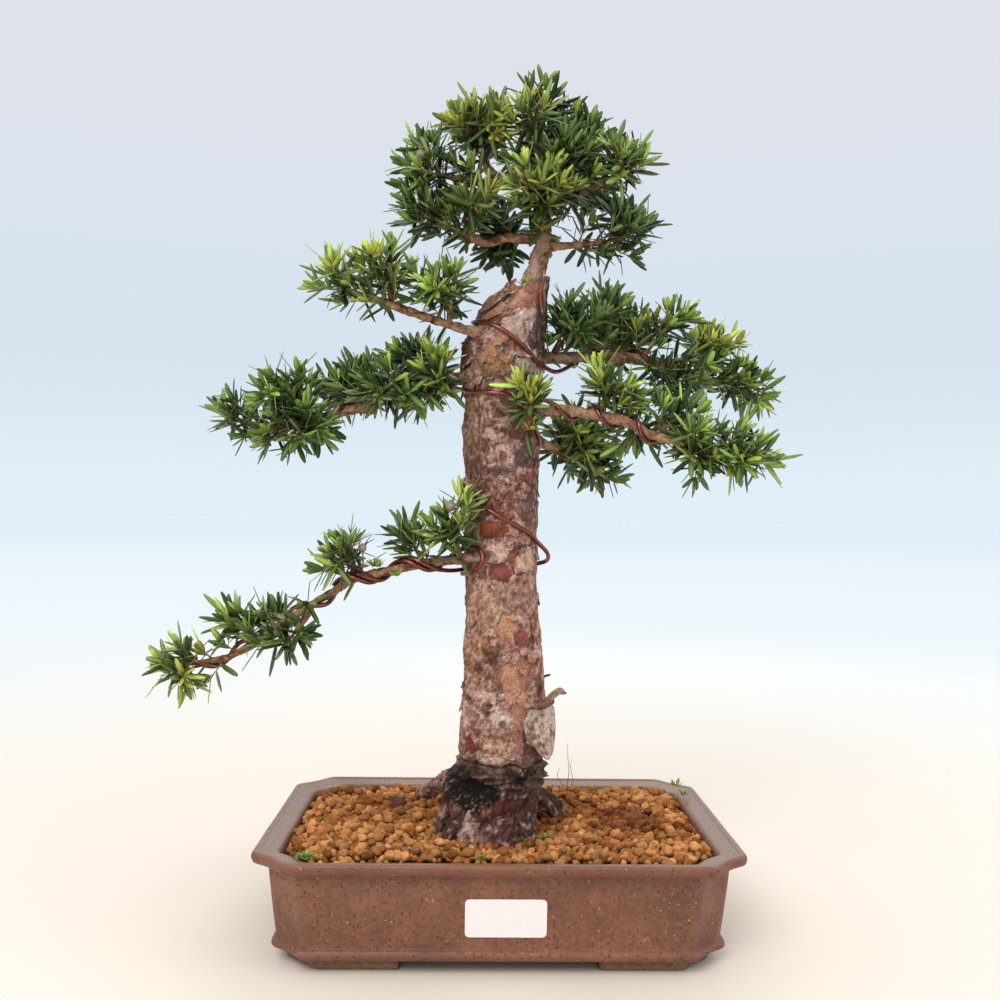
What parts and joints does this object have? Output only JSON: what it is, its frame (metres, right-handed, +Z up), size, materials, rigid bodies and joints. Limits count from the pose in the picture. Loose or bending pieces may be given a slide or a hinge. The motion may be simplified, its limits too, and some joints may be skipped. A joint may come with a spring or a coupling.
{
  "type": "japanese yew bonsai",
  "caption": "Potted japanese yew bonsai with a thick bare trunk sawn off at a slant, wired side branches with sprays of flat needles, in a low rectangular footed stoneware pot of clay soil.",
  "frame": {"origin": "on the ground, under the middle of the whole plant's and pot's bounding box", "axes": "+Z up, along the trunk; +X to the viewer's right along the pot's long side; +Y from the pot's front, which carries the label, to its back"},
  "size_m": [0.43, 0.2202, 0.5858],
  "materials": {
    "stoneware": "unglazed brown stoneware, satin, slightly mottled",
    "clay_soil": "packed baked clay granules, matt",
    "bark": "flaking reddish brown bark, matt",
    "needles": "living dark green needles, semi-gloss",
    "copper_wire": "copper-brown anodised training wire",
    "paper": "blank coated paper label",
    "seed_coat": "hard grey-brown seed",
    "screen_plastic": "black plastic mesh"
  },
  "bodies": {
    "root": {"blank_label": "paper", "drain_screen_1": "screen_plastic", "drain_screen_2": "screen_plastic", "pot": "stoneware", "seed_crown": "seed_coat", "seed_left_low": "seed_coat", "seed_top": "seed_coat", "soil": "clay_soil", "spray_crown_1": "needles", "spray_crown_10": "needles", "spray_crown_11": "needles", "spray_crown_12": "needles", "spray_crown_13": "needles", "spray_crown_14": "needles", "spray_crown_15": "needles", "spray_crown_2": "needles", "spray_crown_3": "needles", "spray_crown_4": "needles", "spray_crown_5": "needles", "spray_crown_6": "needles", "spray_crown_7": "needles", "spray_crown_8": "needles", "spray_crown_9": "needles", "spray_front_shoot_1": "needles", "spray_left_low_1": "needles", "spray_left_low_2": "needles", "spray_left_low_3": "needles", "spray_left_low_4": "needles", "spray_left_low_5": "needles", "spray_left_low_6": "needles", "spray_left_low_7": "needles", "spray_left_mid_1": "needles", "spray_left_mid_2": "needles", "spray_left_mid_3": "needles", "spray_left_mid_4": "needles", "spray_left_mid_5": "needles", "spray_left_mid_6": "needles", "spray_left_mid_7": "needles", "spray_left_upper_1": "needles", "spray_left_upper_2": "needles", "spray_left_upper_3": "needles", "spray_right_back_1": "needles", "spray_right_back_2": "needles", "spray_right_mid_1": "needles", "spray_right_mid_2": "needles", "spray_right_mid_3": "needles", "spray_right_mid_4": "needles", "spray_right_mid_5": "needles", "spray_right_upper_1": "needles", "spray_right_upper_2": "needles", "spray_right_upper_3": "needles", "spray_right_upper_4": "needles", "spray_right_upper_5": "needles", "spray_right_upper_6": "needles", "spray_right_upper_7": "needles", "trunk_and_branches": "bark", "wire_left_low_second": "copper_wire", "wire_left_mid_to_right_mid": "copper_wire", "wire_right_upper": "copper_wire", "wire_trunk_to_left_low": "copper_wire"}
  },
  "joints": []
}
